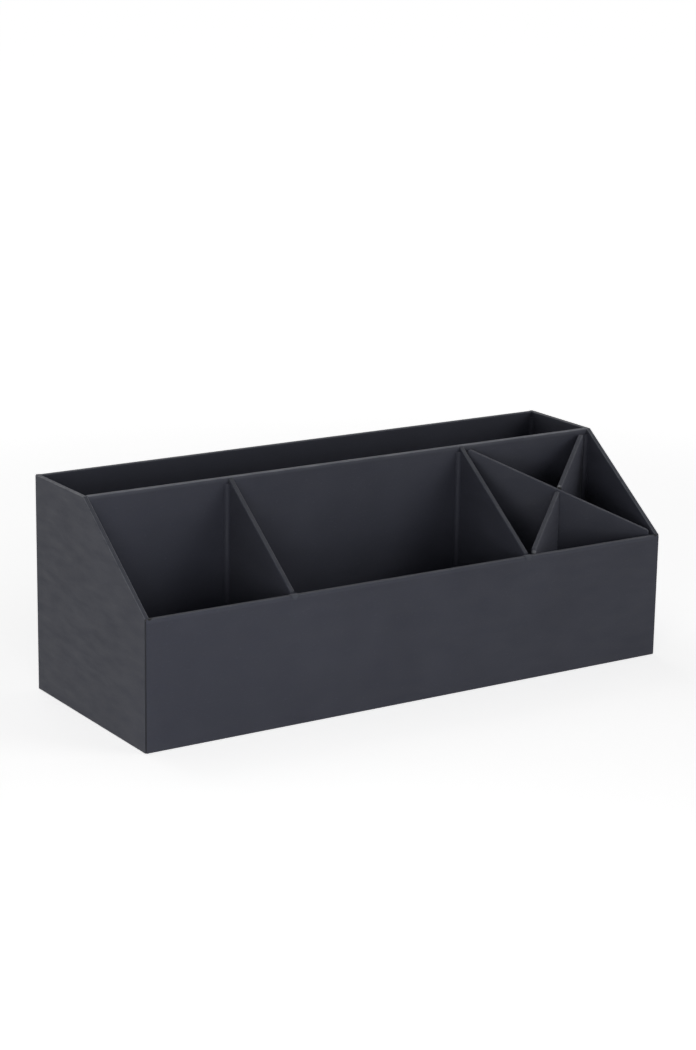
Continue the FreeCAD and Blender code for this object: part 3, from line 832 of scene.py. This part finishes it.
@dataclass
class SlitLips:
    """Edges of the turned-in paper that curl up beside the slits of the rim.

    Attributes:
        half_slit: half the slit's width, in millimetres.
        width: of a lip at its middle, in millimetres.
        rise: of a lip above the rim, in millimetres.
        sunk: depth of a lip's underside in the rim, in millimetres.
        fullness: power that keeps a lip wide up to its ends.
        merge: distance in millimetres below which two corners are one.
        steps: rows of faces along a lip.
        rows: rows of faces across a lip.
        pieces: the lips of each slit, by name.
    """

    half_slit: float = 0.22
    width: float = 0.16
    rise: float = 0.10
    sunk: float = 0.05
    fullness: float = 0.6
    merge: float = 0.002
    steps: int = 14
    rows: int = 5
    pieces: dict[str, bpy.types.Object] = field(default_factory=dict)

    def lip(self, mesh: bmesh.types.BMesh, slit: RimSlit, way: int) -> None:
        """Add one closed lip, highest beside the slit and fading out at both ends.

        Args:
            mesh: mesh that gets the lip.
            slit: the slit that it runs along.
            way: -1 or 1, the side of the slit that it lies on.
        """
        along = (slit.at(1.0) - slit.at(0.0)).normalized()
        across = Vector((-along.y, along.x, 0.0)) * way
        tops, bottoms = [], []
        for step in range(self.steps + 1):
            share = step / self.steps
            swell = math.sin(math.pi * share) ** self.fullness
            for row in range(self.rows + 1):
                out = row / self.rows
                place = slit.at(share) + across * (self.half_slit + self.width * swell * out)
                height = self.rise * swell * (1 - out) ** 2
                tops.append(mesh.verts.new((place + Vector((0.0, 0.0, height))) * MM))
                bottoms.append(mesh.verts.new((place - Vector((0.0, 0.0, self.sunk))) * MM))
        columns = self.rows + 1
        for step in range(self.steps):
            for row in range(self.rows):
                first = step * columns + row
                ring = (first, first + 1, first + columns + 1, first + columns)
                mesh.faces.new([tops[i] for i in ring])
                mesh.faces.new([bottoms[i] for i in reversed(ring)])
        border = ([step * columns for step in range(self.steps + 1)]
                  + [self.steps * columns + row for row in range(1, columns)]
                  + [step * columns + self.rows for step in reversed(range(self.steps))]
                  + list(reversed(range(1, self.rows))))
        for here, there in zip(border, border[1:] + border[:1]):
            mesh.faces.new((tops[here], tops[there], bottoms[there], bottoms[here]))

    def build(self) -> None:
        """Build the two lips of each slit as one piece."""
        for slit in RIM_SLITS:
            name = f"{'left' if slit.side < 0 else 'right'}_slit_lips"
            shape = bmesh.new()
            for way in (-1, 1):
                self.lip(shape, slit, way)
            bmesh.ops.remove_doubles(shape, verts=shape.verts, dist=self.merge * MM)
            bmesh.ops.recalc_face_normals(shape, faces=shape.faces)
            data = bpy.data.meshes.new(name)
            shape.to_mesh(data)
            shape.free()
            data.shade_smooth()
            piece = bpy.data.objects.new(name, data)
            bpy.context.scene.collection.objects.link(piece)
            self.pieces[name] = piece

    def dress(self) -> None:
        """Give the lips the paper's torn, paler edge and hang them on the tray."""
        paper = CoverPaper("cover_paper_torn_edge", Facing.FRONT.value, tone="#4A4D55",
                           deep="#42454D", pale="#5D6068").material()
        for name, piece in self.pieces.items():
            piece.data.materials.append(paper)
            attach(piece, "tray")
            LOG.info("%s: %s", name, paper.name)


@dataclass
class Partitions:
    """Full-width partition and the two dividers.

    Attributes:
        board: finish of the boards.
        divider_drop: millimetres of the dividers' rims below those of the side walls.
        tongue_reach: millimetres from the middle of a tongue's fold to its end.
        tongue_tone: sRGB colour of the tongues.
    """

    board: bpy.types.Material
    divider_drop: float = 0.5
    tongue_reach: float = 3.5
    tongue_tone: str = "#4A4D57"

    def build(self) -> None:
        """The partition and dividers keep their shapes from the frame."""

    def tongues(self) -> tuple[Mark, ...]:
        """Paler patch on the tongues that tie the dividers to the front wall.

        Returns:
            One mark for each divider's sheet.
        """
        marks = []
        for side in ("left", "right"):
            low, high = extent(f"{side}_divider_board")
            marks.append(Mark(((low.x + high.x) / 2, OUTLINE.front, OUTLINE.low_rim),
                              self.tongue_reach, self.tongue_tone))
        return tuple(marks)

    def dress(self) -> None:
        """Finish boards and cover sheets."""
        # The partition's rim is painted much paler on its edges and its top, as painted highlight, and
        # gets no painted shade on top.
        dress("partition_cover", CoverPaper("cover_paper_partition", Facing.FRONT.value,
                                            (OUTLINE.level(OUTLINE.high_rim),),
                                            rubbed_and_highlight="#9497A0", top_shade=0.0,
                                            rubbed_and_highlight_top=0.3).material())
        dress("partition_board", self.board)
        dividers = CoverPaper("cover_paper_dividers", Facing.SIDE.value,
                              (OUTLINE.sloping(self.divider_drop),), marks=self.tongues(),
                              rubbed_and_highlight="#4A4D55", top_shade=0.5).material()
        for side in ("left", "right"):
            dress(f"{side}_divider_cover", dividers)
            dress(f"{side}_divider_board", self.board)


@dataclass
class CrossInsert:
    """Two leaves halved into each other, which lift out of the right bay.

    Attributes:
        board: finish of the boards.
        leaf_drop: millimetres of the leaves' rims below those of the side walls.
        marks: painted highlights as pale points, at the front end of leaf A and where the leaves cross.
    """

    board: bpy.types.Material
    leaf_drop: float = 0.6
    # Pale points that paint highlights on the ends of leaf A.
    marks: tuple[Mark, ...] = (
        Mark((79.0, -57.2, 71.5), 1.9, "#9A9CA2"),
        Mark((119.5, -24.6, 97.0), 2.2, "#A5A7AC"),
    )

    def build(self) -> None:
        """The leaves keep their shapes from the frame."""

    def dress(self) -> None:
        """Finish boards and cover sheets."""
        # A leaf's rim is level across its thickness, so its middle is higher than the side rims
        # would be there.
        rim = (OUTLINE.sloping(self.leaf_drop - OUTLINE.slope * OUTLINE.wall / 2),)
        for leaf in ("a", "b"):
            paper = CoverPaper(f"cover_paper_leaf_{leaf}",
                               broad_side(f"cross_leaf_{leaf}_board"), rim,
                               marks=self.marks, rubbed_and_highlight="#54575F", top_shade=0.3)
            dress(f"cross_leaf_{leaf}_cover", paper.material())
            dress(f"cross_leaf_{leaf}_board", self.board)


@dataclass
class Floor:
    """Base board, underlay, floor liners and corner stays."""

    board: bpy.types.Material

    def build(self) -> None:
        """The floor keeps its shapes from the frame."""

    def dress(self) -> None:
        """Finish the board and its papers."""
        dress("base_board", self.board)
        dress("base_underlay", CoverPaper("underlay_paper", Facing.UP.value,
                                          tone="#2B2D32", deep="#25272B").material())
        liner = CoverPaper("liner_paper", Facing.UP.value, tone="#34363C",
                           deep="#2C2E34").material()
        for bay in ("rear_slot", "left_bay", "middle_bay", "right_bay"):
            dress(f"{bay}_liner", liner)
        dress("corner_stays", GummedTape().material())


# ---------------------------------------------------------------------------------------------
# Studio
# ---------------------------------------------------------------------------------------------

@dataclass(frozen=True)
class SoftBox:
    """Square area lamp, given in metres and watts by its place, size, power and aim."""

    name: str
    place: Place
    size: float
    watts: float
    aim: Place = (0.0, 0.0, 0.06)

    def build(self) -> None:
        """Hang the lamp so that it looks at its aim."""
        lamp = bpy.data.lights.new(self.name, "AREA")
        lamp.shape = "SQUARE"
        lamp.size = self.size
        lamp.energy = self.watts
        holder = bpy.data.objects.new(self.name, lamp)
        holder.location = self.place
        holder.rotation_mode = "QUATERNION"
        holder.rotation_quaternion = (Vector(self.aim) - Vector(self.place)).to_track_quat("-Z", "Y")
        bpy.context.scene.collection.objects.link(holder)


@dataclass
class Studio:
    """Camera, soft boxes, pale floor and white background.

    Attributes:
        focal_px: focal length in pixels of the picture.
        camera_place: place of the camera in metres.
        camera_turn: its turns about X, Y and Z in degrees.
        sensor_mm: width of its sensor.
        clip: nearest and furthest distance in metres that it sees.
        floor_half: half the width of the floor in metres.
        floor_tone: sRGB colour of the floor.
        floor_own_light: share of white that the floor shows by itself under the organizer.
        shadow_reach: distances in metres between which the floor turns to plain white.
        lamps: the soft boxes.
    """

    focal_px: float = 2576.2
    camera_place: Place = (-0.75197, -1.14206, 0.44724)
    camera_turn: Place = (75.1287, -0.8744, -32.9309)
    sensor_mm: float = 36.0
    clip: Band = (0.05, 30.0)
    floor_half: float = 12.0
    floor_tone: str = "#EDEDED"
    floor_own_light: float = 0.72
    shadow_reach: Band = (0.45, 1.3)
    lamps: tuple[SoftBox, ...] = field(default_factory=lambda: (
        SoftBox("soft_box_above", (-0.2, 0.3, 1.6), size=1.4, watts=2.6),
        SoftBox("soft_box_behind", (0.0, 1.2, 1.2), size=1.2, watts=3.8),
        SoftBox("soft_box_behind_left", (-1.3, 1.3, 0.5), size=1.0, watts=1.6),
        SoftBox("soft_box_right", (1.4, 0.3, 0.8), size=1.0, watts=1.2),
        SoftBox("soft_box_front_right", (1.2, -1.2, 0.8), size=1.0, watts=6.2),
        SoftBox("soft_box_front_left", (-0.35, -0.45, 0.12), size=0.2, watts=0.70),
    ))

    def camera(self) -> None:
        """Set up the camera: PICTURE's long side spans the sensor's width."""
        data = bpy.data.cameras.new("studio_camera")
        data.sensor_width = self.sensor_mm
        data.lens = self.focal_px / max(PICTURE) * self.sensor_mm
        data.clip_start, data.clip_end = self.clip
        holder = bpy.data.objects.new("studio_camera", data)
        holder.location = self.camera_place
        holder.rotation_euler = Euler([math.radians(turn) for turn in self.camera_turn], "XYZ")
        bpy.context.scene.collection.objects.link(holder)
        bpy.context.scene.camera = holder

    def seen(self, tree: Tree) -> Socket:
        """Whether a ray comes from the camera, a reflection or a clear body.

        Args:
            tree: node tree of the floor or the world.

        Returns:
            Socket that is 1 for those rays and 0 for the rest.
        """
        path = add_node(tree, "ShaderNodeLightPath")
        first = add_node(tree, "ShaderNodeMath", {"operation": "MAXIMUM"},
                         {0: path.outputs["Is Camera Ray"], 1: path.outputs["Is Glossy Ray"]})
        return add_node(tree, "ShaderNodeMath", {"operation": "MAXIMUM"},
                        {0: first.outputs[0], 1: path.outputs["Is Transmission Ray"]}).outputs[0]

    def world(self) -> None:
        """White where it is seen. It casts no light of its own, which the soft boxes give."""
        world = bpy.data.worlds.new("studio")
        world.use_nodes = True
        tree = world.node_tree
        tree.nodes.clear()
        white = add_node(tree, "ShaderNodeBackground", {},
                         {"Color": WHITE, "Strength": self.seen(tree)})
        add_node(tree, "ShaderNodeOutputWorld", {}, {"Surface": white.outputs[0]})
        bpy.context.scene.world = world

    def floor(self) -> None:
        """Pale paper sweep that takes the organizer's soft shadow."""
        mesh = bpy.data.meshes.new("studio_floor")
        half = self.floor_half
        mesh.from_pydata([(-half, -half, 0.0), (half, -half, 0.0), (half, half, 0.0),
                          (-half, half, 0.0)], [], [(0, 1, 2, 3)])
        floor = bpy.data.objects.new("studio_floor", mesh)
        bpy.context.scene.collection.objects.link(floor)
        material, tree = new_material("studio_paper_sweep")
        plain = add_node(tree, "ShaderNodeBsdfDiffuse", {}, {"Color": linear(self.floor_tone)}).outputs[0]
        where = add_node(tree, "ShaderNodeTexCoord").outputs["Object"]
        away = add_node(tree, "ShaderNodeVectorMath", {"operation": "LENGTH"},
                        {0: where}).outputs["Value"]
        near_reach, far_reach = self.shadow_reach
        own = add_node(tree, "ShaderNodeMapRange", SMOOTH,
                       {"Value": away, "From Min": near_reach, "From Max": far_reach,
                        "To Min": self.floor_own_light, "To Max": 1.0}).outputs[0]
        strength = add_node(tree, "ShaderNodeMath", {"operation": "MULTIPLY"},
                            {0: self.seen(tree), 1: own}).outputs[0]
        glow = add_node(tree, "ShaderNodeEmission", {},
                        {"Color": WHITE, "Strength": strength}).outputs[0]
        both = add_node(tree, "ShaderNodeAddShader", {}, {0: plain, 1: glow})
        add_node(tree, "ShaderNodeOutputMaterial", {}, {"Surface": both.outputs[0]})
        mesh.materials.append(material)

    def build(self) -> None:
        """Set up camera, lamps, world and floor."""
        self.camera()
        for lamp in self.lamps:
            lamp.build()
        self.world()
        self.floor()
        bpy.context.scene.view_settings.view_transform = "Standard"


def main() -> None:
    """Build and dress the organizer and set it in the studio."""
    logging.basicConfig(level=logging.INFO, format="%(name)s: %(message)s")
    board = Greyboard().material()
    for assembly in (Walls(board), SlitLips(), Partitions(board), CrossInsert(board),
                     Floor(board)):
        assembly.build()
        assembly.dress()
    Studio().build()


if __name__ == "__main__":
    main()
